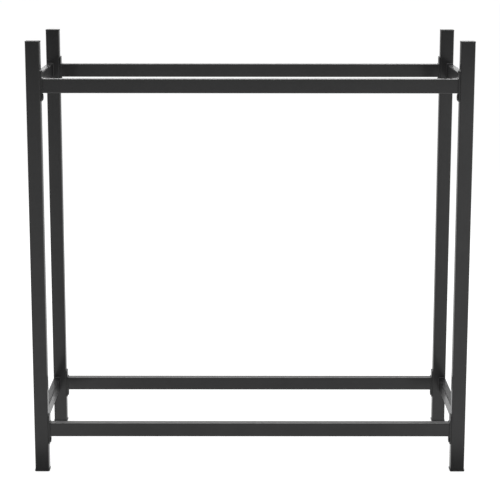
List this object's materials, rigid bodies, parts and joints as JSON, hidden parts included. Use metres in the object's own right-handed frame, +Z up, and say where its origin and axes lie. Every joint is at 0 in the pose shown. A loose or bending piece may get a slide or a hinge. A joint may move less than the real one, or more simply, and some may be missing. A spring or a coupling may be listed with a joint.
{
  "type": "firewood log holder",
  "caption": "Open free-standing rack for firewood in black coated rectangular steel tube: two welded side frames joined by long rails that hook and screw into the posts.",
  "frame": {"origin": "on the floor, at the centre of the rack's footprint", "axes": "+Z up, X along the long rails, +Y from the front of the rack to its back"},
  "size_m": [1.002, 0.402, 1],
  "materials": {
    "powder_coated_steel": "satin black powder coat with a fine orange-peel texture",
    "blackened_screw_steel": "black zinc plate, slightly glossy",
    "zinc_plated_steel": "bright zinc plate",
    "moulded_plastic": "black moulded polyethylene with a fine grain"
  },
  "bodies": {
    "root": {"end_plate_back_bottom_left": "powder_coated_steel", "end_plate_back_bottom_right": "powder_coated_steel", "end_plate_back_top_left": "powder_coated_steel", "end_plate_back_top_right": "powder_coated_steel", "end_plate_front_bottom_left": "powder_coated_steel", "end_plate_front_bottom_right": "powder_coated_steel", "end_plate_front_top_left": "powder_coated_steel", "end_plate_front_top_right": "powder_coated_steel", "foot_plug_back_left": "moulded_plastic", "foot_plug_back_right": "moulded_plastic", "foot_plug_front_left": "moulded_plastic", "foot_plug_front_right": "moulded_plastic", "frame_welds_left": "powder_coated_steel", "frame_welds_right": "powder_coated_steel", "long_rail_back_bottom": "powder_coated_steel", "long_rail_back_top": "powder_coated_steel", "long_rail_front_bottom": "powder_coated_steel", "long_rail_front_top": "powder_coated_steel", "post_back_left": "powder_coated_steel", "post_back_right": "powder_coated_steel", "post_cap_back_left": "moulded_plastic", "post_cap_back_right": "moulded_plastic", "post_cap_front_left": "moulded_plastic", "post_cap_front_right": "moulded_plastic", "post_front_left": "powder_coated_steel", "post_front_right": "powder_coated_steel", "rail_screws": "blackened_screw_steel", "rail_welds_back_bottom": "powder_coated_steel", "rail_welds_back_top": "powder_coated_steel", "rail_welds_front_bottom": "powder_coated_steel", "rail_welds_front_top": "powder_coated_steel", "rivet_nuts": "zinc_plated_steel", "side_rail_left_bottom": "powder_coated_steel", "side_rail_left_top": "powder_coated_steel", "side_rail_right_bottom": "powder_coated_steel", "side_rail_right_top": "powder_coated_steel"}
  },
  "joints": []
}
